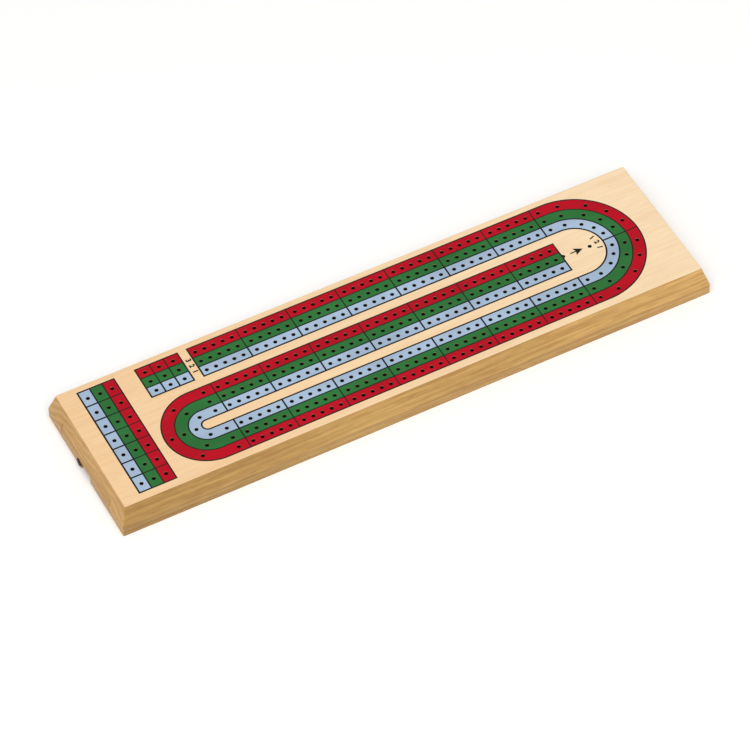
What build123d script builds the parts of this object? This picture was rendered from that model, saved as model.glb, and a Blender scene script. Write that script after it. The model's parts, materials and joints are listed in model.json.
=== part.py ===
"""Three-lane continuous-track cribbage box with an end drawer for the pegs.

Millimetres, +Z up. The origin is the middle of the underside. The long side runs
along X, the drawer opens towards -X, and the lanes are drilled in the top board.
"""
import math
import os

from build123d import *

# ---------------------------------------------------------------- driving sizes
# peg holes: straights of five-hole groups, joined by two turns
GROUPS = 7                  # groups of holes on each straight
GROUP_HOLES = 5             # holes in a group
LANES = 3                   # blue inside, then green, then red
GROUP_PITCH = 31.0          # from one group to the next
HOLE_PITCH = 5.66           # from hole to hole inside a group
LANE_PITCH = 7.4            # from lane to lane
SMALL_LOOP = 14.2           # between the blue lanes at the left turn
LARGE_LOOP = 42.9           # between the blue lanes at the right turn
TURN_HOLE_STEP = 8.8        # last hole before the left turn, back from the first group
LEFT_TURN_LEAD = 16.7       # centre of the left turn, back from the first group
LEFT_TURN_ANGLES = (15.0, 28.5, 33.5)           # second hole of each lane, from the tangent
RIGHT_TURN_ANGLES = (12.6, 38.3, 58.2, 76.3)    # second to fifth hole, from the tangent
START_LEAD = 30.9           # first start hole, back from the first group
START_PITCH = 8.65          # start holes along the lane
START_CELLS = 3
GAMES_LEAD = 66.6           # blue games-won hole, back from the first group
GAMES_CELLS = 7
FINISH_LEAD = 9.2           # finish hole, past the centre of the right turn
HOLE_D = 2.4

# bare wood round the printed field, and the moulded edge
EDGE_LEFT = 11.2
EDGE_RIGHT = 16.2
EDGE_SIDE = 4.6
BEVEL_RUN = 3.9             # how far the slope leans in
BAND_H = 6.85               # upright band below the slope
CORNER_R = 0.8
TOP_EASE = 0.5              # sanded edge round the top face

# stack of thicknesses, from the underside upwards
PANEL_T = 2.4               # bottom panel
RUN_GAP = 0.2               # drawer above the panel
TRAY_FLOOR_T = 1.4          # drawer bottom
TRAY_DEPTH = 5.6            # inside depth of the drawer
STOP_GAP = 0.3              # drawer sides below the stop strip
STOP_T = 1.5                # stop strip
TOP_T = 7.65                # top board
HOLE_FLOOR = 2.15           # wood left under a peg hole

# drawer
DRAWER_L = 160.0            # outer face of the front to outer face of the back
CELL_W = 16.4               # one peg compartment
DIVIDER_T = 2.0
DIVIDER_DROP = 0.8          # dividers below the drawer sides
SIDE_T = 4.0
FRONT_T = 8.0
BACK_T = 4.0
SIDE_GAP = 0.35             # drawer to rail, each side
FIT_GAP = 0.3               # drawer front to the top board and to the table
TRAVEL = 120.0              # closed to fully open
NOTCH_W = 12.2              # finger notch in the drawer front
NOTCH_Y = -0.1              # a little off the middle, to make room for the pull
NOTCH_H = 6.0
NOTCH_DEEP = 5.5
NOTCH_R = 2.0
PULL_HEAD_D = 4.8           # round-headed pull pin beside the notch
PULL_HEAD_T = 0.6
PULL_SHANK_D = 2.4
PULL_SHANK_L = 5.0
PULL_Y = 7.9
PULL_Z = 3.2

# frame
END_T = 16.0                # end block
RIB_T = 10.0                # cross ribs under the top board
RIB_GAP = 0.5               # drawer back to the rib that stops it
STOP_L = 8.0
STOP_W = 40.0
LEDGE = 8.0                 # rabbet in the rails that takes the bottom panel
PANEL_GAP = 0.1

# countersunk screws through the panel
SCREWS_PER_SIDE = 4
SCREW_INSET = 24.0          # first and last screw from the panel's ends
SCREW_D = 2.6
SCREW_HEAD_D = 5.0
SCREW_HEAD_H = 1.5
SCREW_L = 8.0
SCREW_SLOT = 0.6
SCREW_GAP = 0.05            # round the shank and under the head

# pegs
PEGS_PER_LANE = 3
PEG_L = 24.0
PEG_HEAD_D = 4.2
PEG_HEAD_L = 4.6
PEG_CLEAR = 0.1             # peg to hole, each side
PEG_TIP_D = 1.8
PEG_REST_GAP = 0.05
PEG_START = 12.0            # first peg head behind the drawer front
PEG_STAGGER = 2.5           # how unevenly they lie

# ---------------------------------------------------------------- worked out
GROUP_GAP = GROUP_PITCH - (GROUP_HOLES - 1) * HOLE_PITCH
RIGHT_CENTRE = GROUPS * GROUP_PITCH + GROUP_GAP / 2
FIELD_W = LARGE_LOOP + (2 * LANES - 1) * LANE_PITCH
RIGHT_REACH = LARGE_LOOP / 2 + (LANES - 0.5) * LANE_PITCH
LEFT_REACH = GAMES_LEAD + LANE_PITCH / 2
TOP_LENGTH = EDGE_LEFT + LEFT_REACH + RIGHT_CENTRE + RIGHT_REACH + EDGE_RIGHT
TOP_WIDTH = FIELD_W + 2 * EDGE_SIDE
LENGTH = TOP_LENGTH + 2 * BEVEL_RUN
WIDTH = TOP_WIDTH + 2 * BEVEL_RUN
FIRST_X = -TOP_LENGTH / 2 + EDGE_LEFT + LEFT_REACH
LOW_Y = -LARGE_LOOP / 2
MID_Y = LOW_Y + SMALL_LOOP
HIGH_Y = LOW_Y + LARGE_LOOP

TRAY_Z = PANEL_T + RUN_GAP
CELL_Z = TRAY_Z + TRAY_FLOOR_T
SIDE_TOP = CELL_Z + TRAY_DEPTH
STOP_Z = SIDE_TOP + STOP_GAP
SEAM_Z = STOP_Z + STOP_T
HEIGHT = SEAM_Z + TOP_T
HOLE_DEPTH = TOP_T - HOLE_FLOOR

DRAWER_W = LANES * CELL_W + (LANES - 1) * DIVIDER_T + 2 * SIDE_T
BAY_W = DRAWER_W + 2 * SIDE_GAP
END_X = -LENGTH / 2                     # outer face of the drawer front
FRONT_IN = END_X + FRONT_T
BACK_OUT = END_X + DRAWER_L
BACK_IN = BACK_OUT - BACK_T
INNER_W = DRAWER_W - 2 * SIDE_T
STOP_X = BACK_IN - TRAVEL - FIT_GAP     # face that the drawer back meets
PANEL_X0 = FRONT_IN + FIT_GAP
PANEL_X1 = LENGTH / 2 - END_T
PANEL_W = BAY_W + 2 * (LEDGE - PANEL_GAP)


def span(x0, x1, y0, y1, z0, z1, mode=Mode.ADD):
    """A block between two corners, in the open builder."""
    with Locations(((x0 + x1) / 2, (y0 + y1) / 2, (z0 + z1) / 2)):
        Box(x1 - x0, y1 - y0, z1 - z0, mode=mode)


os.makedirs("parts", exist_ok=True)


def save(builder, name):
    """Label a finished piece and write its file."""
    builder.part.label = name
    export_step(builder.part, f"parts/{name}.step")


# ---------------------------------------------------------------- hole positions
def lane_holes(lane):
    """Centres of one lane's 130 holes: start cells, track and games-won cells."""
    out = lane * LANE_PITCH
    points = []
    for group in range(GROUPS):
        for hole in range(GROUP_HOLES):
            x = FIRST_X + group * GROUP_PITCH + hole * HOLE_PITCH
            points += [(x, LOW_Y - out), (x, MID_Y + out), (x, HIGH_Y + out)]

    right_x = FIRST_X + RIGHT_CENTRE
    right_r = LARGE_LOOP / 2 + out
    first_x = FIRST_X + GROUPS * GROUP_PITCH
    points += [(first_x, HIGH_Y + out), (first_x, LOW_Y - out)]
    for angle in RIGHT_TURN_ANGLES:
        across = right_r * math.sin(math.radians(angle))
        up = right_r * math.cos(math.radians(angle))
        points += [(right_x + across, up), (right_x + across, -up)]

    left_x = FIRST_X - LEFT_TURN_LEAD
    left_y = (LOW_Y + MID_Y) / 2
    left_r = SMALL_LOOP / 2 + out
    last_x = FIRST_X - TURN_HOLE_STEP
    points += [(last_x, MID_Y + out), (last_x, LOW_Y - out), (left_x - left_r, left_y)]
    angle = math.radians(LEFT_TURN_ANGLES[lane])
    across, up = left_r * math.sin(angle), left_r * math.cos(angle)
    points += [(left_x - across, left_y + up), (left_x - across, left_y - up)]

    for cell in range(START_CELLS):
        points.append((FIRST_X - START_LEAD + cell * START_PITCH, HIGH_Y + out))
    games_step = FIELD_W / GAMES_CELLS
    for cell in range(GAMES_CELLS):
        points.append((FIRST_X - GAMES_LEAD + out, FIELD_W / 2 - (cell + 0.5) * games_step))
    return points


finish_hole = (FIRST_X + RIGHT_CENTRE + FINISH_LEAD, 0.0)
peg_holes = [finish_hole] + [point for lane in range(LANES) for point in lane_holes(lane)]

# ---------------------------------------------------------------- moulded outline
# The glued-up box is planed to one outline, an upright band with a slope above it,
# so every outer piece is cut from the same shape.
with BuildPart() as outline:
    with BuildSketch():
        RectangleRounded(LENGTH, WIDTH, CORNER_R)
    extrude(amount=BAND_H)
    with BuildSketch(Plane.XY.offset(BAND_H)):
        RectangleRounded(LENGTH, WIDTH, CORNER_R)
    with BuildSketch(Plane.XY.offset(HEIGHT)):
        RectangleRounded(TOP_LENGTH, TOP_WIDTH, CORNER_R)
    loft(ruled=True)
    fillet(outline.faces().sort_by(Axis.Z)[-1].edges(), TOP_EASE)

# ---------------------------------------------------------------- top board
with BuildPart() as top_board:
    add(outline.part)
    span(END_X, -END_X, -WIDTH / 2, WIDTH / 2, SEAM_Z, HEIGHT, Mode.INTERSECT)
    with BuildSketch(Plane.XY.offset(HEIGHT)):
        with Locations(*peg_holes):
            Circle(HOLE_D / 2)
    extrude(amount=-HOLE_DEPTH, mode=Mode.SUBTRACT)

# ---------------------------------------------------------------- frame
# Two long rails and an end block carry the top. A rabbet in each rail takes the
# bottom panel, which starts behind the drawer front.
with BuildPart() as front_rail:
    add(outline.part)
    span(END_X, -END_X, -WIDTH / 2, -BAY_W / 2, 0, SEAM_Z, Mode.INTERSECT)
    span(PANEL_X0, PANEL_X1, -BAY_W / 2 - LEDGE, -BAY_W / 2, 0, PANEL_T, Mode.SUBTRACT)

with BuildPart() as back_rail:
    add(outline.part)
    span(END_X, -END_X, BAY_W / 2, WIDTH / 2, 0, SEAM_Z, Mode.INTERSECT)
    span(PANEL_X0, PANEL_X1, BAY_W / 2, BAY_W / 2 + LEDGE, 0, PANEL_T, Mode.SUBTRACT)

with BuildPart() as end_block:
    add(outline.part)
    span(PANEL_X1, -END_X, -BAY_W / 2, BAY_W / 2, 0, SEAM_Z, Mode.INTERSECT)

stop_rib_x = BACK_OUT + RIB_GAP
middle_rib_x = (stop_rib_x + PANEL_X1) / 2
with BuildPart() as stop_rib:
    span(stop_rib_x, stop_rib_x + RIB_T, -BAY_W / 2, BAY_W / 2, PANEL_T, SEAM_Z)

with BuildPart() as middle_rib:
    span(middle_rib_x, middle_rib_x + RIB_T, -BAY_W / 2, BAY_W / 2, PANEL_T, SEAM_Z)

# the strip under the top board that the drawer back meets when fully open
with BuildPart() as stop_strip:
    span(STOP_X - STOP_L, STOP_X, -STOP_W / 2, STOP_W / 2, STOP_Z, SEAM_Z)

with BuildPart() as bottom_panel:
    span(PANEL_X0, PANEL_X1, -PANEL_W / 2, PANEL_W / 2, 0, PANEL_T)

# ---------------------------------------------------------------- panel screws
screw_span = PANEL_X1 - PANEL_X0 - 2 * SCREW_INSET
screw_step = screw_span / (SCREWS_PER_SIDE - 1)
screw_x = (PANEL_X0 + PANEL_X1) / 2
screw_row = BAY_W + LEDGE               # between the two rows, in the middle of each ledge
screw_places = GridLocations(screw_step, screw_row, SCREWS_PER_SIDE, 2)


def screw_profile(gap):
    """Half section of a screw, head down, or of its hole when gap is not nothing."""
    with BuildPart() as turned:
        with BuildSketch(Plane.XZ):
            with BuildLine():
                Polyline(
                    (0, 0),
                    (SCREW_HEAD_D / 2 + gap, 0),
                    (SCREW_D / 2 + gap, SCREW_HEAD_H),
                    (SCREW_D / 2 + gap, SCREW_L - SCREW_D / 2),
                    (0, SCREW_L + gap),
                    close=True,
                )
            make_face()
        revolve(axis=Axis.Z)
    return turned.part


screw_body = screw_profile(0)
screw_hole = screw_profile(SCREW_GAP)
with BuildPart() as panel_screws:
    with Locations((screw_x, 0, 0)):
        with screw_places:
            add(screw_body)
            with Locations((0, 0, SCREW_SLOT / 2)):
                Box(SCREW_HEAD_D, SCREW_SLOT, SCREW_SLOT, mode=Mode.SUBTRACT)

for piece in (bottom_panel, front_rail, back_rail):
    with piece:
        with Locations((screw_x, 0, 0)):
            with screw_places:
                add(screw_hole, mode=Mode.SUBTRACT)

# ---------------------------------------------------------------- drawer
# The front follows the moulded outline, so it closes flush with the end.
with BuildPart() as drawer_front:
    add(outline.part)
    span(END_X, FRONT_IN, -DRAWER_W / 2, DRAWER_W / 2, FIT_GAP, SEAM_Z - FIT_GAP, Mode.INTERSECT)
    with BuildSketch(Plane.YZ.offset(END_X)):
        with Locations((NOTCH_Y, NOTCH_H / 2 - NOTCH_R / 2)):
            notch = Rectangle(NOTCH_W, NOTCH_H + NOTCH_R)
        fillet(notch.vertices().group_by(Axis.Z)[-1], NOTCH_R)
    extrude(amount=NOTCH_DEEP, mode=Mode.SUBTRACT)
    with BuildSketch(Plane.YZ.offset(END_X)):
        with Locations((PULL_Y, PULL_Z)):
            Circle(PULL_SHANK_D / 2 + SCREW_GAP)
    extrude(amount=PULL_SHANK_L + SCREW_GAP, mode=Mode.SUBTRACT)

with BuildPart() as pull_pin:
    with BuildSketch(Plane.YZ.offset(END_X)):
        with Locations((PULL_Y, PULL_Z)):
            Circle(PULL_SHANK_D / 2)
    extrude(amount=PULL_SHANK_L)
    with BuildSketch(Plane.YZ.offset(END_X)):
        with Locations((PULL_Y, PULL_Z)):
            Circle(PULL_HEAD_D / 2)
    extrude(amount=-PULL_HEAD_T)
    fillet(pull_pin.faces().sort_by(Axis.X)[0].edges(), PULL_HEAD_T * 0.7)

with BuildPart() as drawer_bottom:
    span(FRONT_IN, BACK_OUT, -DRAWER_W / 2, DRAWER_W / 2, TRAY_Z, CELL_Z)

with BuildPart() as drawer_side_front:
    span(FRONT_IN, BACK_OUT, -DRAWER_W / 2, -INNER_W / 2, CELL_Z, SIDE_TOP)

with BuildPart() as drawer_side_back:
    span(FRONT_IN, BACK_OUT, INNER_W / 2, DRAWER_W / 2, CELL_Z, SIDE_TOP)

# the back stands above the sides, to catch on the stop strip
with BuildPart() as drawer_back:
    span(BACK_IN, BACK_OUT, -INNER_W / 2, INNER_W / 2, CELL_Z, SEAM_Z - FIT_GAP)

for number in range(1, LANES):
    divider_y = -INNER_W / 2 + number * (CELL_W + DIVIDER_T) - DIVIDER_T
    with BuildPart() as divider:
        span(FRONT_IN, BACK_IN, divider_y, divider_y + DIVIDER_T, CELL_Z, SIDE_TOP - DIVIDER_DROP)
    save(divider, f"drawer_divider_{number}")

# ---------------------------------------------------------------- pegs
# Turned pegs with a round head, three of each colour, lying in their compartments
# on the widest part of the head and on the tip.
shank_d = HOLE_D - 2 * PEG_CLEAR
head_widest = PEG_HEAD_L * 0.4
with BuildPart() as peg:
    with BuildSketch(Plane.XZ):
        with BuildLine():
            Polyline(
                (PEG_HEAD_L * 0.75, PEG_HEAD_D * 0.33),
                (PEG_HEAD_L, shank_d / 2),
                (PEG_L, PEG_TIP_D / 2),
                (PEG_L, 0),
                (0, 0),
            )
            ThreePointArc(
                (0, 0),
                (head_widest, PEG_HEAD_D / 2),
                (PEG_HEAD_L * 0.75, PEG_HEAD_D * 0.33),
            )
        make_face()
    revolve(axis=Axis.X)

peg_slope = math.atan2((PEG_HEAD_D - PEG_TIP_D) / 2, PEG_L - head_widest)
peg_z = CELL_Z + PEG_REST_GAP + PEG_HEAD_D / 2 + head_widest * math.sin(peg_slope)
peg_step = CELL_W / PEGS_PER_LANE
for lane, colour in enumerate(("blue", "green", "red")):
    cell_y = -INNER_W / 2 + lane * (CELL_W + DIVIDER_T)
    for number in range(PEGS_PER_LANE):
        peg_x = FRONT_IN + PEG_START + PEG_STAGGER * ((lane + 2 * number) % 3)
        peg_y = cell_y + (number + 0.5) * peg_step
        with BuildPart() as laid:
            with Locations(Location((peg_x, peg_y, peg_z), (0, math.degrees(peg_slope), 0))):
                add(peg.part)
        save(laid, f"{colour}_peg_{number + 1}")

# ---------------------------------------------------------------- files
save(top_board, "top_board")
save(front_rail, "front_rail")
save(back_rail, "back_rail")
save(end_block, "end_block")
save(stop_rib, "stop_rib")
save(middle_rib, "middle_rib")
save(stop_strip, "stop_strip")
save(bottom_panel, "bottom_panel")
save(panel_screws, "panel_screws")
save(drawer_front, "drawer_front")
save(pull_pin, "pull_pin")
save(drawer_bottom, "drawer_bottom")
save(drawer_side_front, "drawer_side_front")
save(drawer_side_back, "drawer_side_back")
save(drawer_back, "drawer_back")
print(f"box {LENGTH:.2f} x {WIDTH:.2f} x {HEIGHT:.2f}, {len(peg_holes)} peg holes")
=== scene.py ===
"""Cribbage box with an end drawer: the finishes, the printed field and the studio.

Metres, +Z up. The lanes run along X and the drawer opens towards -X.
"""
import json
import math

import bmesh
import bpy
from mathutils import Matrix, Vector


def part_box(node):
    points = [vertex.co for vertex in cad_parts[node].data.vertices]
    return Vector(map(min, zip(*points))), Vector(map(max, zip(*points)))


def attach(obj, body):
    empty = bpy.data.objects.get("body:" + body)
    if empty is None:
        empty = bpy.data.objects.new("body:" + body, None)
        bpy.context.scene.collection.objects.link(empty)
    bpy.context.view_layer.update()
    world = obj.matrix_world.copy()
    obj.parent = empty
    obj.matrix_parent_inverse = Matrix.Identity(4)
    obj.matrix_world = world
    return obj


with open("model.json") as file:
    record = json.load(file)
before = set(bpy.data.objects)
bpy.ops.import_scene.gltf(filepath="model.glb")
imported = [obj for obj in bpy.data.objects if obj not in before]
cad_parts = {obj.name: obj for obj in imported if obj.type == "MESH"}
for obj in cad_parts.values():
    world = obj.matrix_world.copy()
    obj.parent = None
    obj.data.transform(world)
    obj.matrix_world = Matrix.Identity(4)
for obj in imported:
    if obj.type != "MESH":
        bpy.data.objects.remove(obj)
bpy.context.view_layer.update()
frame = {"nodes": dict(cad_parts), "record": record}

nodes = frame["nodes"]

# ---------------------------------------------------------------- top board
# One board of maple, planed, sanded and lacquered, with the grain along the box. Its face is
# painted paler than its own moulded edges, as painted light; the edges are as golden as the
# rails they meet. The peg holes are drilled blind, and their walls are painted almost black, as painted
# shade.
MM = 0.001
EDGE_LEAN = 3.9 * MM            # how far the slope leans in, from the upright band to the top
EASED = 0.5 * MM                # sanded arris round the top face
top_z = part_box("top_board")[1].z
seam_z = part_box("top_board")[0].z
half_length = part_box("front_rail")[1].x
half_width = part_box("back_rail")[1].y
face_x = half_length - EDGE_LEAN
face_y = half_width - EDGE_LEAN


def blank_finish(name, roughness, coat=0.0, coat_roughness=0.2):
    """An empty material with its shader and the object's own coordinates."""
    finish = bpy.data.materials.new(name)
    finish.use_nodes = True
    tree = finish.node_tree
    shader = tree.nodes["Principled BSDF"]
    shader.inputs["Roughness"].default_value = roughness
    shader.inputs["Coat Weight"].default_value = coat
    shader.inputs["Coat Roughness"].default_value = coat_roughness
    place = tree.nodes.new("ShaderNodeTexCoord")
    return finish, tree, shader, place


def stretched_noise(tree, place, per_metre, detail, shift=(0, 0, 0)):
    """Noise on the object's coordinates, with its own pitch along each axis."""
    mapping = tree.nodes.new("ShaderNodeMapping")
    mapping.inputs["Location"].default_value = shift
    mapping.inputs["Scale"].default_value = per_metre
    tree.links.new(place.outputs["Object"], mapping.inputs["Vector"])
    noise = tree.nodes.new("ShaderNodeTexNoise")
    noise.inputs["Scale"].default_value = 1.0
    noise.inputs["Detail"].default_value = detail
    tree.links.new(mapping.outputs["Vector"], noise.inputs["Vector"])
    return noise.outputs["Fac"]


def math_node(tree, operation, first, second=0.0):
    """first and second are numbers or outputs of other nodes."""
    node = tree.nodes.new("ShaderNodeMath")
    node.operation = operation
    for socket, value in zip(node.inputs, (first, second)):
        if isinstance(value, (int, float)):
            socket.default_value = value
        else:
            tree.links.new(value, socket)
    return node.outputs["Value"]


def spread(tree, value, span, to=(0.0, 1.0)):
    """value, stretched from one span to another and held inside it."""
    node = tree.nodes.new("ShaderNodeMapRange")
    node.inputs["From Min"].default_value = span[0]
    node.inputs["From Max"].default_value = span[1]
    node.inputs["To Min"].default_value = to[0]
    node.inputs["To Max"].default_value = to[1]
    tree.links.new(value, node.inputs["Value"])
    return node.outputs["Result"]


def split_axes(tree, vector):
    """The X, Y and Z of a vector output."""
    node = tree.nodes.new("ShaderNodeSeparateXYZ")
    tree.links.new(vector, node.inputs["Vector"])
    return node.outputs


def blend_colour(tree, amount, first, second, how="MIX"):
    """first and second are colours or outputs, and amount is a number or an output."""
    node = tree.nodes.new("ShaderNodeMix")
    node.data_type = "RGBA"
    node.blend_type = how
    # a colour Mix node takes its amount at 0 and its colours at 6 and 7, and gives them at 2
    for socket, value in ((node.inputs[0], amount), (node.inputs[6], first), (node.inputs[7], second)):
        if isinstance(value, (int, float)):
            socket.default_value = value
        elif isinstance(value, tuple):
            socket.default_value = (*value, 1.0)
        else:
            tree.links.new(value, socket)
    return node.outputs[2]


def stain(tree, colour, tint):
    return blend_colour(tree, 1.0, colour, tint, "MULTIPLY")


def tint_towards(tree, place, colour, axis, span, tint):
    """colour, multiplied by tint below the span on that axis, and less and less along it."""
    where = split_axes(tree, place.outputs["Object"])
    amount = spread(tree, where[axis], span, (1.0, 0.0))
    return blend_colour(tree, amount, colour, stain(tree, colour, tint))


def relief(tree, shader, height, strength, distance):
    """Let a height output turn the shader's normals."""
    bump = tree.nodes.new("ShaderNodeBump")
    bump.inputs["Strength"].default_value = strength
    bump.inputs["Distance"].default_value = distance
    tree.links.new(height, bump.inputs["Height"])
    tree.links.new(bump.outputs["Normal"], shader.inputs["Normal"])


# layers of the grain: pitch per metre along it and across it, then octaves of detail
STREAKS = (16.0, 520.0, 3.0)
FIGURE = (95.0, 330.0, 3.0)
FIBRES = (70.0, 1900.0, 3.0)
CLOUDS = (9.0, 26.0, 2.0)
PORES = (230.0, 2600.0, 1.0)
TONE_SHARES = (0.46, 0.24, 0.28, 0.24)      # of streaks, figure, fibres and clouds
NOISE_SPAN = (0.36, 0.64)       # where most of a noise's values lie
PALER = 0.2                     # how far a layer can lift the tone, as a share of its own
PORE_SPAN = (0.66, 0.78)        # only the highest values are pores
PORE_TONE = 0.35
PORE_SHADE = 0.5                # colour of a pore, as a share of the dark tone
RING_STRETCH = 0.10             # rings along the heart line, as a share of those across it
RING_PITCH = 75.0
RING_WAVER = 7.0
RING_DETAIL, RING_DETAIL_PITCH = 3.0, 0.9
RING_SPAN = (0.1, 1.0)
RING_SHARE = 0.24
END_RINGS, END_FIBRES, END_CLOUDS = (0.2, 0.55), (0.0, 0.25), (-0.1, 0.25)
END_TURN = (0.55, 0.8)          # how squarely a face crosses the grain, to show as end grain
WOOD_RELIEF, WOOD_RELIEF_DEPTH = 0.14, 0.08 * MM
HEIGHT_SPAN = (0.5, 1.4)        # of fibres and rings together
SMOOTHER, ROUGHER = 0.05, 0.07  # how far the grain moves the roughness


def by_grain(along, slow, fast):
    """One value for each axis: slow along the grain, and fast across it."""
    return (slow, fast, fast) if along == "X" else (fast, slow, fast)


def growth_rings(tree, place, heart, along):
    """Rings about a heart line that runs with the grain."""
    lie = tree.nodes.new("ShaderNodeMapping")
    lie.inputs["Location"].default_value = heart
    lie.inputs["Scale"].default_value = by_grain(along, RING_STRETCH, 1.0)
    tree.links.new(place.outputs["Object"], lie.inputs["Vector"])
    rings = tree.nodes.new("ShaderNodeTexWave")
    rings.wave_type = "RINGS"
    rings.rings_direction = along
    rings.inputs["Scale"].default_value = RING_PITCH
    rings.inputs["Distortion"].default_value = RING_WAVER
    rings.inputs["Detail"].default_value = RING_DETAIL
    rings.inputs["Detail Scale"].default_value = RING_DETAIL_PITCH
    tree.links.new(lie.outputs["Vector"], rings.inputs["Vector"])
    return rings.outputs["Fac"]


def grain(tree, place, heart, along, contrast):
    """Rings, streaks, figure, fibres and pores.

    Gives a tone for long grain, one for end grain, the pores and a height.
    """
    rings = growth_rings(tree, place, heart, along)
    streaks, figure, fibres, clouds, pores = (
        stretched_noise(tree, place, by_grain(along, slow, fast), detail, heart)
        for slow, fast, detail in (STREAKS, FIGURE, FIBRES, CLOUDS, PORES)
    )
    tone = spread(tree, rings, RING_SPAN, (0.0, RING_SHARE * contrast))
    for noise, share in zip((streaks, figure, fibres, clouds), TONE_SHARES):
        layer = spread(tree, noise, NOISE_SPAN, (-PALER * share, share * contrast))
        tone = math_node(tree, "ADD", tone, layer)
    tone = math_node(tree, "MAXIMUM", tone, 0.0)
    end_tone = spread(tree, rings, RING_SPAN, END_RINGS)
    end_tone = math_node(tree, "ADD", end_tone, spread(tree, fibres, NOISE_SPAN, END_FIBRES))
    end_tone = math_node(tree, "ADD", end_tone, spread(tree, clouds, NOISE_SPAN, END_CLOUDS))
    pore = spread(tree, pores, PORE_SPAN, (0.0, PORE_TONE * contrast))
    height = math_node(tree, "ADD", fibres, rings)
    return tone, end_tone, pore, height


def timber_colour(tree, tone, pore, pale, dark):
    colour = blend_colour(tree, tone, pale, dark)
    return blend_colour(tree, pore, colour, tuple(PORE_SHADE * part for part in dark))


def wood_surface(tree, shader, place, colour, end_colour, height, roughness, along):
    """Colour the shader, its end grain apart, and give it the grain's own relief."""
    facing = split_axes(tree, place.outputs["Normal"])
    end = spread(tree, math_node(tree, "ABSOLUTE", facing[along]), END_TURN)
    colour = blend_colour(tree, end, colour, end_colour)
    tree.links.new(colour, shader.inputs["Base Color"])
    relief(tree, shader, height, WOOD_RELIEF, WOOD_RELIEF_DEPTH)
    shine = spread(tree, height, HEIGHT_SPAN, (roughness - SMOOTHER, roughness + ROUGHER))
    tree.links.new(shine, shader.inputs["Roughness"])


MAPLE_ROUGHNESS = 0.5
MAPLE_COAT = 0.08
FRAME_PALE = (0.90, 0.55, 0.185)
FRAME_DARK = (0.58, 0.315, 0.09)
# the top face's maple: painted light, paler than the same maple on the board's own edges
TOP_LIT_PALE = (0.93, 0.735, 0.485)
TOP_LIT_DARK = (0.81, 0.545, 0.305)
TOP_LEFT_FALLOFF_SHADE = (0.935, 0.82, 0.70)     # both woods are painted darker towards the drawer's end, as painted shade where the light falls off
SIDE_LEFT_FALLOFF_SHADE = (0.66, 0.645, 0.56)
END_TINT = (0.92, 0.89, 0.84)
SLOPE_TINT = (1.0, 0.99, 0.96)
# painted shade on the walls and floors of the peg holes
HOLE_PAINTED_SHADE = (0.015, 0.011, 0.011)
SIDE_HEART = (0.05, 0.021, 0.14)        # shifts the pattern; the top and the rails share it
WHOLE_LENGTH = (-half_length, half_length)
FACE_FIGURE = 0.5               # the face shows its figure this much as strongly as the edges
EDGE_STARTS = (top_z - 0.9 * EASED, top_z - 0.3 * EASED)
FIELD_X = (face_x - 3.0 * MM, face_x - 2.0 * MM)
FIELD_Y = (face_y - 3.0 * MM, face_y - 2.0 * MM)
HOLE_TOP = (top_z - 0.35 * MM, top_z - 0.05 * MM)
UNDERSIDE = (seam_z + 0.3 * MM, seam_z + 0.6 * MM)


def lacquered_top():
    finish, tree, shader, place = blank_finish("lacquered_maple_top", MAPLE_ROUGHNESS, MAPLE_COAT)
    tone, end_tone, pore, height = grain(tree, place, SIDE_HEART, "X", 1.0)
    face_tone = math_node(tree, "MULTIPLY", tone, FACE_FIGURE)
    face_pore = math_node(tree, "MULTIPLY", pore, FACE_FIGURE)
    face = timber_colour(tree, face_tone, face_pore, TOP_LIT_PALE, TOP_LIT_DARK)
    # painted shade: the face darkens towards the drawer's end, where the light falls off
    face = tint_towards(tree, place, face, "X", WHOLE_LENGTH, TOP_LEFT_FALLOFF_SHADE)
    # the moulded edge, below the eased arris, is as golden as the rails; the face above it is painted
    # paler, as painted light
    edge = stain(tree, timber_colour(tree, tone, pore, FRAME_PALE, FRAME_DARK), SLOPE_TINT)
    # painted shade: the edge darkens towards the drawer's end, where the light falls off
    edge = tint_towards(tree, place, edge, "X", WHOLE_LENGTH, SIDE_LEFT_FALLOFF_SHADE)
    end_colour = stain(tree, timber_colour(tree, end_tone, pore, FRAME_PALE, FRAME_DARK), END_TINT)
    x, y, z = split_axes(tree, place.outputs["Object"])
    colour = blend_colour(tree, spread(tree, z, EDGE_STARTS, (1.0, 0.0)), face, edge)
    # inside the field, anything below the face and above the underside is a drilled hole, painted almost
    # black as painted shade
    hole = spread(tree, math_node(tree, "ABSOLUTE", x), FIELD_X, (1.0, 0.0))
    in_y = spread(tree, math_node(tree, "ABSOLUTE", y), FIELD_Y, (1.0, 0.0))
    below_face = spread(tree, z, HOLE_TOP, (1.0, 0.0))
    above_seam = spread(tree, z, UNDERSIDE)
    for limit in (in_y, below_face, above_seam):
        hole = math_node(tree, "MULTIPLY", hole, limit)
    # the hole walls take the painted shade
    colour = blend_colour(tree, hole, colour, HOLE_PAINTED_SHADE)
    end_colour = blend_colour(tree, hole, end_colour, HOLE_PAINTED_SHADE)
    wood_surface(tree, shader, place, colour, end_colour, height, MAPLE_ROUGHNESS, "X")
    return finish


nodes["top_board"].material_slots[0].material = lacquered_top()

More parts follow.
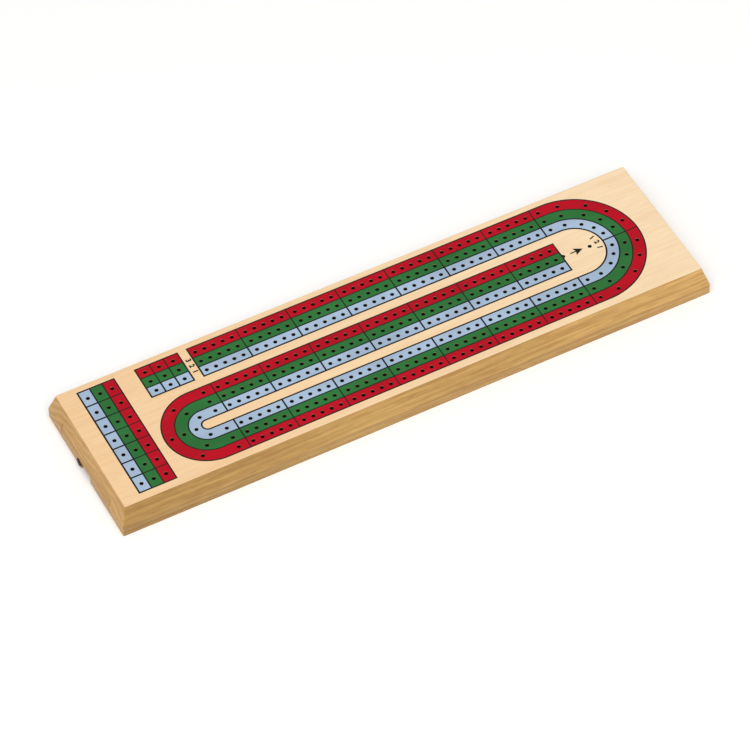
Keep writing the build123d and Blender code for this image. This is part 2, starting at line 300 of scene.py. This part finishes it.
# ---------------------------------------------------------------- printed black
# The field is screen printed. Black goes on as one film under the three colours, and
# shows between their cells as the outlines and the marks between groups of five holes.
GROUP_PITCH = 31.0 * MM
GROUPS = 7
LANE_PITCH = 7.4 * MM
LANES = 3
SMALL_LOOP = 14.2 * MM
LARGE_LOOP = 42.9 * MM
RIGHT_CENTRE = 221.18 * MM      # centre of the right turn, from the first hole of the straights
FINISH_LEAD = 9.2 * MM          # finish hole, past that centre
LEFT_CENTRE = -16.7 * MM
GROUP_LINE = -4.18 * MM         # line in front of a group's first hole
TOP_START = -3.3 * MM           # where the upper straight begins
LOOP_START = -2.9 * MM          # where the lower loop's straights begin
LINE_W = 1.0 * MM               # outlines, and the marks across the blue lane
THIN_LINE = 0.7 * MM            # lines against the denser green and red
BLACK_FILM = 0.02 * MM
PRINT_Y = 0.3 * MM              # the print sits this much off the drilling
STEPS_PER_TURN = 72             # in each half circle
START_LEFT, START_RIGHT = -35.225 * MM, -9.275 * MM     # start cells, from that first hole
GAMES_LEFT, GAMES_RIGHT = -70.3 * MM, -48.1 * MM        # columns that count the games
HOLE_DEPTH = 5.5 * MM           # of a peg hole
BIT_CLEAR = 2.0 * MM            # how far the bits stand out above the top
WELD = 0.001 * MM               # points closer than this are one
LEVEL = 0.01 * MM               # how near its height a flat floor lies
REACH = 0.1 * MM                # how near a line its own points lie
FLAT_ANGLE = 0.01               # triangles this near to level become one face

finish_hole = next(m for m in frame["record"]["mounts"] if m["name"] == "finish_peg_hole")
first_x = finish_hole["pos_m"][0] - RIGHT_CENTRE - FINISH_LEAD
right_x = first_x + RIGHT_CENTRE
left_x = first_x + LEFT_CENTRE
low_y = PRINT_Y - LARGE_LOOP / 2
mid_y = low_y + SMALL_LOOP
high_y = PRINT_Y + LARGE_LOOP / 2
half_lane = LANE_PITCH / 2
outer = (LANES - 0.5) * LANE_PITCH
field_y = LARGE_LOOP / 2 + outer
rim = LINE_W / 2


def rectangle(x0, x1, y0, y1, across=1, up=1):
    """A flat grid between two corners, with its place in its mesh."""
    bpy.ops.object.select_all(action="DESELECT")
    middle = ((x0 + x1) / 2, (y0 + y1) / 2, top_z)
    bpy.ops.mesh.primitive_grid_add(x_subdivisions=across, y_subdivisions=up, size=1, location=middle)
    piece = bpy.context.object
    piece.scale = (x1 - x0, y1 - y0, 1)
    bpy.ops.object.transform_apply(location=True, rotation=True, scale=True)
    return piece


def choose(piece, kind, wanted):
    """Select, in edit mode, the parts of piece whose points are all wanted."""
    bpy.ops.mesh.select_mode(type=kind)
    bpy.ops.mesh.select_all(action="DESELECT")
    shape = bmesh.from_edit_mesh(piece.data)
    parts = {"VERT": shape.verts, "EDGE": shape.edges, "FACE": shape.faces}[kind]
    for part in parts:
        points = [part] if kind == "VERT" else part.verts
        part.select_set(all(wanted(point.co) for point in points))
    shape.select_flush_mode()
    bmesh.update_edit_mesh(piece.data)


def turn_round(steps, angle, centre_x, centre_y):
    """Spin the chosen edge about an upright line."""
    bpy.ops.mesh.spin(steps=steps, angle=angle, center=(centre_x, centre_y, top_z), axis=(0, 0, 1))


def draw_on(distance):
    """Carry the chosen edge straight on along X."""
    bpy.ops.mesh.extrude_edges_move(TRANSFORM_OT_translate={"value": (distance, 0, 0)})


def join_pieces(pieces, name):
    bpy.ops.object.mode_set(mode="OBJECT")
    bpy.ops.object.select_all(action="DESELECT")
    for piece in pieces:
        piece.select_set(True)
    bpy.context.view_layer.objects.active = pieces[0]
    if len(pieces) > 1:
        bpy.ops.object.join()
    pieces[0].name = name
    pieces[0].data.name = name
    return pieces[0]


def use_modifier(piece, kind, **settings):
    """Add a modifier to piece and apply it."""
    bpy.context.view_layer.objects.active = piece
    modifier = piece.modifiers.new(kind.lower(), kind)
    for key, value in settings.items():
        setattr(modifier, key, value)
    bpy.ops.object.modifier_apply(modifier=modifier.name)


def drill_bits():
    """A plug for every peg hole, drawn up from the floors of the holes in the top board."""
    bpy.ops.object.select_all(action="DESELECT")
    bits = nodes["top_board"].copy()
    bits.data = nodes["top_board"].data.copy()
    bits.parent = None
    # the copy is only a tool, so it keeps none of the board's own properties
    for key in list(bits.keys()):
        del bits[key]
    bits.data.materials.clear()
    bpy.context.scene.collection.objects.link(bits)
    bits.name = "drill_bits"
    bits.select_set(True)
    bpy.context.view_layer.objects.active = bits
    floor_z = top_z - HOLE_DEPTH
    bpy.ops.object.mode_set(mode="EDIT")
    bpy.ops.mesh.select_all(action="SELECT")
    bpy.ops.mesh.remove_doubles(threshold=WELD)
    choose(bits, "FACE", lambda point: abs(point.z - floor_z) < LEVEL)
    bpy.ops.mesh.select_all(action="INVERT")
    bpy.ops.mesh.delete(type="FACE")
    bpy.ops.mesh.select_all(action="SELECT")
    bpy.ops.mesh.dissolve_limited(angle_limit=FLAT_ANGLE)
    bpy.ops.mesh.select_all(action="SELECT")
    bpy.ops.mesh.extrude_region_move(TRANSFORM_OT_translate={"value": (0, 0, HOLE_DEPTH + BIT_CLEAR)})
    bpy.ops.mesh.select_all(action="SELECT")
    bpy.ops.mesh.normals_make_consistent(inside=False)
    bpy.ops.object.mode_set(mode="OBJECT")
    return bits


def face_up(piece):
    """Turn over the flat faces that point down, so that their film grows upwards."""
    bpy.ops.object.mode_set(mode="EDIT")
    bpy.ops.mesh.select_mode(type="FACE")
    bpy.ops.mesh.select_all(action="DESELECT")
    shape = bmesh.from_edit_mesh(piece.data)
    for face in shape.faces:
        face.select_set(face.normal.z < 0)
    bmesh.update_edit_mesh(piece.data)
    bpy.ops.mesh.flip_normals()
    bpy.ops.object.mode_set(mode="OBJECT")


bits = drill_bits()


def print_film(piece, film, lift, finish):
    """Give a flat print its thickness, lift it on to what it is printed on, drill it and ink it."""
    bpy.ops.object.select_all(action="DESELECT")
    piece.select_set(True)
    piece.location.z = lift
    bpy.context.view_layer.objects.active = piece
    bpy.ops.object.transform_apply(location=True, rotation=True, scale=True)
    face_up(piece)
    use_modifier(piece, "SOLIDIFY", thickness=film, offset=1.0)
    use_modifier(piece, "BOOLEAN", operation="DIFFERENCE", object=bits, solver="MANIFOLD")
    piece.data.materials.clear()
    piece.data.materials.append(finish)


INK_ROUGHNESS = 0.6
INK_SPECULAR = 0.15
INK_FIBRES, INK_CLOUDS = (60.0, 1700.0, 1700.0), (26.0, 60.0, 60.0)     # pitch per metre
INK_DETAIL = 3.0
WORN_SPAN = (0.62, 0.86)        # fibres that stand this high wear through to the wood
CLOUD_SPAN, CLOUD_TONE = (0.3, 0.7), (0.86, 1.1)
INK_RELIEF, INK_RELIEF_DEPTH = 0.15, 0.06 * MM
BLACK_INK, BLACK_DENSITY = (0.012, 0.011, 0.011), 0.97


def ink(name, colour, dense):
    """Flat screen ink, a little thinner along the grain, with the wood's fibres in its surface."""
    finish, tree, shader, place = blank_finish(name, INK_ROUGHNESS)
    shader.inputs["Specular IOR Level"].default_value = INK_SPECULAR
    fibres = stretched_noise(tree, place, INK_FIBRES, INK_DETAIL)
    clouds = stretched_noise(tree, place, INK_CLOUDS, INK_DETAIL)
    worn = spread(tree, fibres, WORN_SPAN, (0.0, 1.0 - dense))
    shade = tree.nodes.new("ShaderNodeVectorMath")
    shade.operation = "SCALE"
    shade.inputs[0].default_value = colour
    tree.links.new(spread(tree, clouds, CLOUD_SPAN, CLOUD_TONE), shade.inputs["Scale"])
    colour_out = blend_colour(tree, worn, shade.outputs["Vector"], TOP_LIT_DARK)
    tree.links.new(colour_out, shader.inputs["Base Color"])
    relief(tree, shader, fibres, INK_RELIEF, INK_RELIEF_DEPTH)
    return finish


def track_ground():
    """The track's footprint, from the upper straight round both turns to the middle one."""
    near_edge, far_edge = high_y - half_lane - rim, high_y + outer + rim
    track = rectangle(first_x + TOP_START - rim, right_x, near_edge, far_edge)
    bpy.ops.object.mode_set(mode="EDIT")
    choose(track, "EDGE", lambda point: point.x > right_x - REACH)
    turn_round(STEPS_PER_TURN, math.pi, right_x, PRINT_Y)
    draw_on(left_x - right_x)
    turn_round(STEPS_PER_TURN, math.pi, left_x, (low_y + mid_y) / 2)
    draw_on(GROUPS * GROUP_PITCH + GROUP_LINE - LEFT_CENTRE + rim)
    bpy.ops.object.mode_set(mode="OBJECT")
    return track


start_ground = rectangle(
    first_x + START_LEFT - rim, first_x + START_RIGHT + rim, high_y - half_lane - rim, high_y + outer + rim
)
games_ground = rectangle(
    first_x + GAMES_LEFT - rim, first_x + GAMES_RIGHT + rim,
    PRINT_Y - field_y - rim, PRINT_Y + field_y + rim,
)
black_lines = join_pieces([track_ground(), start_ground, games_ground], "printed_black_lines")
black_ink = ink("black_screen_ink", BLACK_INK, BLACK_DENSITY)
print_film(black_lines, BLACK_FILM, 0.0, black_ink)
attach(black_lines, "board")

# ---------------------------------------------------------------- printed colours
# Each lane is its own colour, printed as separate cells: seven groups on each of the
# three straights, the turns, three start cells and seven cells that count the games.
COLOUR_FILM = 0.015 * MM
START_CELLS = 3
GAMES_CELLS = 7
LANE_INKS = {                   # colour, density, and width of the black line round its cells
    "blue": ((0.36, 0.475, 0.62), 0.93, LINE_W),
    "green": ((0.024, 0.156, 0.036), 0.94, THIN_LINE),
    "red": ((0.455, 0.001, 0.012), 0.94, THIN_LINE),
}


def turn_cell(x0, x1, near, far, centre_x, centre_y, angle, run_out=0.0):
    """A cell that runs from a short straight into a turn, and out again for run_out."""
    cell = rectangle(x0, x1, min(near, far), max(near, far))
    bpy.ops.object.mode_set(mode="EDIT")
    choose(cell, "EDGE", lambda point: abs(point.x - centre_x) < REACH)
    turn_round(round(STEPS_PER_TURN * abs(angle) / math.pi), angle, centre_x, centre_y)
    if run_out:
        draw_on(run_out)
    bpy.ops.mesh.select_all(action="SELECT")
    bpy.ops.mesh.dissolve_faces()
    bpy.ops.object.mode_set(mode="OBJECT")
    return cell


def straight_cells(start, y0, y1):
    """Seven cells of a straight, the first of them cut short at start."""
    first_line = first_x + GROUP_LINE
    cells = rectangle(first_line, first_line + GROUPS * GROUP_PITCH, min(y0, y1), max(y0, y1), GROUPS)
    bpy.ops.object.mode_set(mode="EDIT")
    choose(cells, "VERT", lambda point: point.x < first_line + REACH)
    bpy.ops.transform.translate(value=(start - GROUP_LINE, 0, 0))
    bpy.ops.object.mode_set(mode="OBJECT")
    return cells


def lane_print(lane, name, colour, dense, line):
    """All the cells of one lane; lane 0 is the innermost."""
    near = lane * LANE_PITCH - half_lane
    far = near + LANE_PITCH
    last_line = first_x + GROUP_LINE + GROUPS * GROUP_PITCH
    loop_y = (low_y + mid_y) / 2
    games_x = first_x + GAMES_LEFT + lane * LANE_PITCH
    cells = [
        straight_cells(TOP_START, high_y + near, high_y + far),
        straight_cells(LOOP_START, mid_y + near, mid_y + far),
        straight_cells(LOOP_START, low_y - near, low_y - far),
        turn_cell(last_line, right_x, high_y + near, high_y + far, right_x, PRINT_Y, math.pi / 2),
        turn_cell(last_line, right_x, low_y - near, low_y - far, right_x, PRINT_Y, -math.pi / 2),
        turn_cell(
            left_x, first_x + LOOP_START, low_y - near, low_y - far, left_x, loop_y, math.pi,
            LOOP_START - LEFT_CENTRE,
        ),
        rectangle(
            first_x + START_LEFT, first_x + START_RIGHT, high_y + near, high_y + far, START_CELLS
        ),
        rectangle(
            games_x, games_x + LANE_PITCH, PRINT_Y - field_y, PRINT_Y + field_y, 1, GAMES_CELLS
        ),
    ]
    piece = join_pieces(cells, f"printed_{name}_lane")
    # every cell draws in by half a line, and the rims are cut away to show the black
    bpy.ops.object.mode_set(mode="EDIT")
    bpy.ops.mesh.select_mode(type="FACE")
    bpy.ops.mesh.select_all(action="SELECT")
    bpy.ops.mesh.inset(thickness=line / 2, use_individual=True)
    bpy.ops.mesh.select_all(action="INVERT")
    bpy.ops.mesh.delete(type="FACE")
    bpy.ops.object.mode_set(mode="OBJECT")
    print_film(piece, COLOUR_FILM, BLACK_FILM, ink(f"{name}_screen_ink", colour, dense))
    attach(piece, "board")


for lane, (name, mix) in enumerate(LANE_INKS.items()):
    lane_print(lane, name, *mix)
bpy.data.objects.remove(bits)

# ---------------------------------------------------------------- arrow and numbers
# The same black prints an arrow towards the finish hole and a small wedge at the end
# of the middle straight. Plain numbers name the lanes and the last hole.
ARROW_FROM, ARROW_TIP = 218.0 * MM, 226.1 * MM      # from the first hole of the straights
ARROW_NECK, ARROW_BARB = 221.7 * MM, 220.8 * MM
ARROW_HALF = 2.7 * MM
ARROW_Y = 0.4 * MM              # the arrow and the wedge sit a little high of the middle
SHAFT_HALF = 0.4 * MM
WEDGE_LONG, WEDGE_HALF = 1.6 * MM, 1.8 * MM
DIGIT_H = 3.0 * MM
DIGIT_CAP = 0.7                 # height of a figure, as a share of its type size
DIGIT_BOLD = 0.2 * MM           # how far each stroke grows on both sides
DIGIT_WELD = 0.01 * MM
LANE_NUMBERS_X = -5.9 * MM
LANE_NUMBERS_Y = -1.2 * MM      # from the middle of the green lane
LANE_NUMBER_STEP = 4.5 * MM
FINISH_NUMBER_R = 14.5 * MM
FINISH_NUMBER_STEP = math.radians(17)
FINISH_NUMBER_TURN = math.radians(4)
APART = 0.02 * MM               # bare wood left between two marks of the same film


def flat_shape(points):
    """A flat face through points, started from a filled circle with as many corners."""
    bpy.ops.object.select_all(action="DESELECT")
    bpy.ops.mesh.primitive_circle_add(vertices=len(points), radius=1, fill_type="NGON", location=(0, 0, 0))
    piece = bpy.context.object
    for vertex, (x, y) in zip(piece.data.vertices, points):
        vertex.co = (x, y, top_z)
    return piece


def digit(text, x, y, turn):
    """One bold printed figure about (x, y), with its top turned by turn."""
    bpy.ops.object.select_all(action="DESELECT")
    base_x = x + DIGIT_H / 2 * math.sin(turn)
    base_y = y - DIGIT_H / 2 * math.cos(turn)
    bpy.ops.object.text_add(location=(base_x, base_y, top_z), rotation=(0, 0, turn))
    piece = bpy.context.object
    piece.data.body = text
    piece.data.size = DIGIT_H / DIGIT_CAP
    piece.data.offset = DIGIT_BOLD
    piece.data.align_x = "CENTER"
    bpy.ops.object.convert(target="MESH")
    bpy.ops.object.transform_apply(location=True, rotation=True, scale=True)
    bpy.ops.object.mode_set(mode="EDIT")
    bpy.ops.mesh.select_all(action="SELECT")
    bpy.ops.mesh.remove_doubles(threshold=DIGIT_WELD)
    bpy.ops.object.mode_set(mode="OBJECT")
    return piece


def finish_marks(piece):
    """Give flat marks the thickness and the ink of the black film."""
    bpy.context.view_layer.objects.active = piece
    face_up(piece)
    use_modifier(piece, "SOLIDIFY", thickness=BLACK_FILM, offset=1.0)
    piece.data.materials.clear()
    piece.data.materials.append(black_ink)
    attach(piece, "board")


arrow_head = flat_shape([
    (first_x + ARROW_TIP, ARROW_Y),
    (first_x + ARROW_BARB, ARROW_Y + ARROW_HALF),
    (first_x + ARROW_NECK, ARROW_Y),
    (first_x + ARROW_BARB, ARROW_Y - ARROW_HALF),
])
arrow_shaft = rectangle(
    first_x + ARROW_FROM, first_x + ARROW_NECK - APART, ARROW_Y - SHAFT_HALF, ARROW_Y + SHAFT_HALF
)
wedge_x = first_x + GROUPS * GROUP_PITCH + GROUP_LINE + LINE_W / 2 + APART
wedge = flat_shape([
    (wedge_x + WEDGE_LONG, ARROW_Y), (wedge_x, ARROW_Y + WEDGE_HALF), (wedge_x, ARROW_Y - WEDGE_HALF),
])
finish_marks(join_pieces([arrow_head, arrow_shaft, wedge], "printed_arrow"))

lane_numbers = [
    digit(
        str(lane + 1),
        first_x + LANE_NUMBERS_X,
        high_y + LANE_PITCH + LANE_NUMBERS_Y + (lane - 1) * LANE_NUMBER_STEP,
        -math.pi / 2,
    )
    for lane in range(LANES)
]
finish_marks(join_pieces(lane_numbers, "printed_lane_numbers"))

finish_numbers = []
for order, text in enumerate("121"):
    angle = FINISH_NUMBER_TURN + (1 - order) * FINISH_NUMBER_STEP
    finish_numbers.append(digit(
        text,
        right_x + FINISH_NUMBER_R * math.cos(angle),
        FINISH_NUMBER_R * math.sin(angle),
        angle - math.pi / 2,
    ))
finish_marks(join_pieces(finish_numbers, "printed_finish_number"))

# ---------------------------------------------------------------- rails and end block
# Two long rails and a block across the far end, golden maple, glued under the top and
# moulded with it. The rails' grain runs along the box, and the block's runs across it.
BLOCK_HEART = (0.02, 0.3, 0.07)
LOW_ARRIS = (0.27 * MM, 0.9 * MM)       # darker here, along the bottom edge
ARRIS_TINT = (0.72, 0.68, 0.62)


def golden_maple(name, heart, along):
    finish, tree, shader, place = blank_finish(name, MAPLE_ROUGHNESS, MAPLE_COAT)
    tone, end_tone, pore, height = grain(tree, place, heart, along, 1.0)
    colour = timber_colour(tree, tone, pore, FRAME_PALE, FRAME_DARK)
    end_colour = stain(tree, timber_colour(tree, end_tone, pore, FRAME_PALE, FRAME_DARK), END_TINT)
    if along == "X":
        # painted shade: the rails darken towards the drawer's end, where the light falls off
        colour = tint_towards(tree, place, colour, "X", WHOLE_LENGTH, SIDE_LEFT_FALLOFF_SHADE)
    else:
        colour = stain(tree, colour, END_TINT)      # as deep as the end grain of the top above it
    # darker along the bottom edge
    colour = tint_towards(tree, place, colour, "Z", LOW_ARRIS, ARRIS_TINT)
    wood_surface(tree, shader, place, colour, end_colour, height, MAPLE_ROUGHNESS, along)
    return finish


rail_finish = golden_maple("golden_maple_rail", SIDE_HEART, "X")
nodes["front_rail"].material_slots[0].material = rail_finish
nodes["back_rail"].material_slots[0].material = rail_finish
nodes["end_block"].material_slots[0].material = golden_maple("golden_maple_block", BLOCK_HEART, "Y")

# ---------------------------------------------------------------- ribs and stop strip
# Two ribs across the inside, one of which stops the closed drawer, and a thin strip that
# catches the drawer's back when it is open. All are planed birch, left bare and glued
# under the top.
BIRCH_PALE = (0.74, 0.58, 0.36)
BIRCH_DARK = (0.60, 0.42, 0.23)
RIB_HEART = (0.1, 0.2, 0.05)
BARE_ROUGHNESS = 0.62
BARE_CONTRAST = 0.8


def bare_wood(name, pale, dark, heart, along):
    finish, tree, shader, place = blank_finish(name, BARE_ROUGHNESS)
    tone, end_tone, pore, height = grain(tree, place, heart, along, BARE_CONTRAST)
    colour = timber_colour(tree, tone, pore, pale, dark)
    end_colour = stain(tree, timber_colour(tree, end_tone, pore, pale, dark), END_TINT)
    wood_surface(tree, shader, place, colour, end_colour, height, BARE_ROUGHNESS, along)
    return finish


rib_finish = bare_wood("bare_birch_across", BIRCH_PALE, BIRCH_DARK, RIB_HEART, "Y")
for name in ("stop_rib", "middle_rib", "stop_strip"):
    nodes[name].material_slots[0].material = rib_finish

# ---------------------------------------------------------------- bottom panel
# Thin birch plywood, sanded and left bare. The panel lies in the rabbets of the rails,
# and the drawer's bottom is the same stuff.
PLY_PALE = (0.70, 0.53, 0.32)
PLY_DARK = (0.56, 0.39, 0.21)
PLY_HEART = (0.2, 0.1, 0.35)
ply_finish = bare_wood("birch_plywood", PLY_PALE, PLY_DARK, PLY_HEART, "X")
nodes["bottom_panel"].material_slots[0].material = ply_finish
nodes["drawer_bottom"].material_slots[0].material = ply_finish

# ---------------------------------------------------------------- panel screws
# Eight slotted countersunk screws, turned and zinc plated, driven up through the panel
# into the rails.
ZINC_DULL = (0.62, 0.60, 0.55)
ZINC_BRIGHT = (0.74, 0.73, 0.70)
ZINC_ROUGHNESS = 0.34
ZINC_PITCH, ZINC_DETAIL = 900.0, 3.0
MOTTLE_SPAN = (0.3, 0.7)


def mottle(blank, pitch, detail, deep, light):
    """Let a blank finish drift between two colours; pitch is the clouds to a metre."""
    finish, tree, shader, place = blank
    clouds = stretched_noise(tree, place, (pitch, pitch, pitch), detail)
    colour = blend_colour(tree, spread(tree, clouds, MOTTLE_SPAN), deep, light)
    tree.links.new(colour, shader.inputs["Base Color"])
    return finish, shader


screw_blank = blank_finish("zinc_plate", ZINC_ROUGHNESS)
screw_finish, screw_shader = mottle(screw_blank, ZINC_PITCH, ZINC_DETAIL, ZINC_DULL, ZINC_BRIGHT)
screw_shader.inputs["Metallic"].default_value = 1.0
nodes["panel_screws"].material_slots[0].material = screw_finish

# ---------------------------------------------------------------- drawer front
# Golden maple with its grain across the box, moulded with the rest of the end, so it
# closes flush. A finger notch is cut from below, and a dark red enamelled pull stands
# beside it.
FRONT_HEART = (0.11, 0.25, 0.06)
ENAMEL_DEEP = (0.022, 0.002, 0.005)
ENAMEL_LIGHT = (0.045, 0.004, 0.009)
ENAMEL_ROUGHNESS = 0.5
ENAMEL_SPECULAR = 0.2
ENAMEL_PITCH, ENAMEL_DETAIL = 500.0, 2.0
nodes["drawer_front"].material_slots[0].material = golden_maple("golden_maple_front", FRONT_HEART, "Y")

pull_blank = blank_finish("dark_red_enamel", ENAMEL_ROUGHNESS)
pull_finish, pull_shader = mottle(pull_blank, ENAMEL_PITCH, ENAMEL_DETAIL, ENAMEL_DEEP, ENAMEL_LIGHT)
pull_shader.inputs["Specular IOR Level"].default_value = ENAMEL_SPECULAR
nodes["pull_pin"].material_slots[0].material = pull_finish

# ---------------------------------------------------------------- drawer body
# A shallow birch tray, glued up and left bare, with two dividers that give each player's
# pegs a compartment. Its back stands above the sides, to meet the stop strip.
TRAY_HEART = (0.4, 0.3, 0.02)
tray_finish = bare_wood("bare_birch_along", BIRCH_PALE, BIRCH_DARK, TRAY_HEART, "X")
for name in ("drawer_side_front", "drawer_side_back", "drawer_divider_1", "drawer_divider_2"):
    nodes[name].material_slots[0].material = tray_finish
nodes["drawer_back"].material_slots[0].material = rib_finish

# ---------------------------------------------------------------- pegs
# Three round-headed pegs for each lane, in glossy plastic of the lane's colour. They lie
# loose in the drawer's compartments.
PEG_COLOURS = {
    "blue": ((0.10, 0.20, 0.58), (0.14, 0.27, 0.68)),
    "green": ((0.006, 0.16, 0.03), (0.012, 0.22, 0.05)),
    "red": ((0.50, 0.006, 0.02), (0.62, 0.015, 0.03)),
}
PEG_ROUGHNESS = 0.25
PEG_COAT, PEG_COAT_ROUGHNESS = 0.2, 0.1
PEG_PITCH, PEG_DETAIL = 260.0, 2.0
for colour, (deep, light) in PEG_COLOURS.items():
    peg_blank = blank_finish(f"{colour}_plastic_gloss", PEG_ROUGHNESS, PEG_COAT, PEG_COAT_ROUGHNESS)
    peg_finish, _ = mottle(peg_blank, PEG_PITCH, PEG_DETAIL, deep, light)
    for name, node in nodes.items():
        if name.startswith(f"{colour}_peg"):
            node.material_slots[0].material = peg_finish

# ---------------------------------------------------------------- floor and light
# A plain white floor, a soft overhead panel and an even pale surround. The floor looks
# white to the camera, and throws less light than that back on to the box.
FLOOR_SIZE = 6.0
FLOOR_SEEN = (0.97, 0.97, 0.97)
FLOOR_BOUNCE = (0.55, 0.545, 0.54)
FLOOR_ROUGHNESS = 0.9
SURROUND_COLOUR = (1.0, 0.99, 0.975, 1.0)
SURROUND_STRENGTH = 0.45
PANEL_PLACE = (-0.60, -1.25, 3.1)
PANEL_SIZE = 3.2
PANEL_POWER = 102.0
bpy.ops.object.select_all(action="DESELECT")
bpy.ops.mesh.primitive_plane_add(size=FLOOR_SIZE, location=(0, 0, 0))
floor = bpy.context.object
floor.name = "studio_floor"
floor_finish, floor_tree, floor_shader, _ = blank_finish("white_floor", FLOOR_ROUGHNESS)
floor_shader.inputs["Specular IOR Level"].default_value = 0.0
ray = floor_tree.nodes.new("ShaderNodeLightPath")
seen = math_node(floor_tree, "MAXIMUM", ray.outputs["Is Camera Ray"], ray.outputs["Is Glossy Ray"])
seen = math_node(floor_tree, "MAXIMUM", seen, ray.outputs["Is Transmission Ray"])
floor_colour = blend_colour(floor_tree, seen, FLOOR_BOUNCE, FLOOR_SEEN)
floor_tree.links.new(floor_colour, floor_shader.inputs["Base Color"])
floor.data.materials.append(floor_finish)

surround = bpy.data.worlds.new("pale_surround")
surround.use_nodes = True
background = surround.node_tree.nodes["Background"]
background.inputs["Color"].default_value = SURROUND_COLOUR
background.inputs["Strength"].default_value = SURROUND_STRENGTH
bpy.context.scene.world = surround

bpy.ops.object.light_add(type="AREA", location=PANEL_PLACE)
panel = bpy.context.object
panel.name = "overhead_panel"
panel.data.shape = "SQUARE"
panel.data.size = PANEL_SIZE
panel.data.energy = PANEL_POWER
panel.rotation_euler = (-panel.location).to_track_quat("-Z", "Y").to_euler()

# ---------------------------------------------------------------- camera
# A long lens, a little rolled, from the left and above. It looks at a point on the
# face of the top board, a little off the middle.
FOCAL_PX = 4325.8
IMAGE_PX = 750
SENSOR_MM = 36.0
AZIMUTH = math.radians(-25.92)
ELEVATION = math.radians(49.61)
ROLL = math.radians(-2.08)
DISTANCE = 2.3851
TARGET = Vector((-0.01807, -0.02649, top_z))
CLIP_END = 20.0

back = Vector((
    math.sin(AZIMUTH) * math.cos(ELEVATION),
    -math.cos(AZIMUTH) * math.cos(ELEVATION),
    math.sin(ELEVATION),
))
level = Vector((0, 0, 1)).cross(back).normalized()
upright = back.cross(level)
right = math.cos(ROLL) * level + math.sin(ROLL) * upright
up = -math.sin(ROLL) * level + math.cos(ROLL) * upright
turned = Matrix((right, up, back)).transposed().to_4x4()
camera_data = bpy.data.cameras.new("photo_camera")
camera_data.sensor_width = SENSOR_MM
camera_data.sensor_fit = "HORIZONTAL"
camera_data.lens = FOCAL_PX * SENSOR_MM / IMAGE_PX
camera_data.clip_end = CLIP_END
camera = bpy.data.objects.new("photo_camera", camera_data)
bpy.context.scene.collection.objects.link(camera)
camera.matrix_world = Matrix.Translation(TARGET + back * DISTANCE) @ turned
bpy.context.scene.camera = camera
bpy.context.scene.view_settings.view_transform = "Standard"
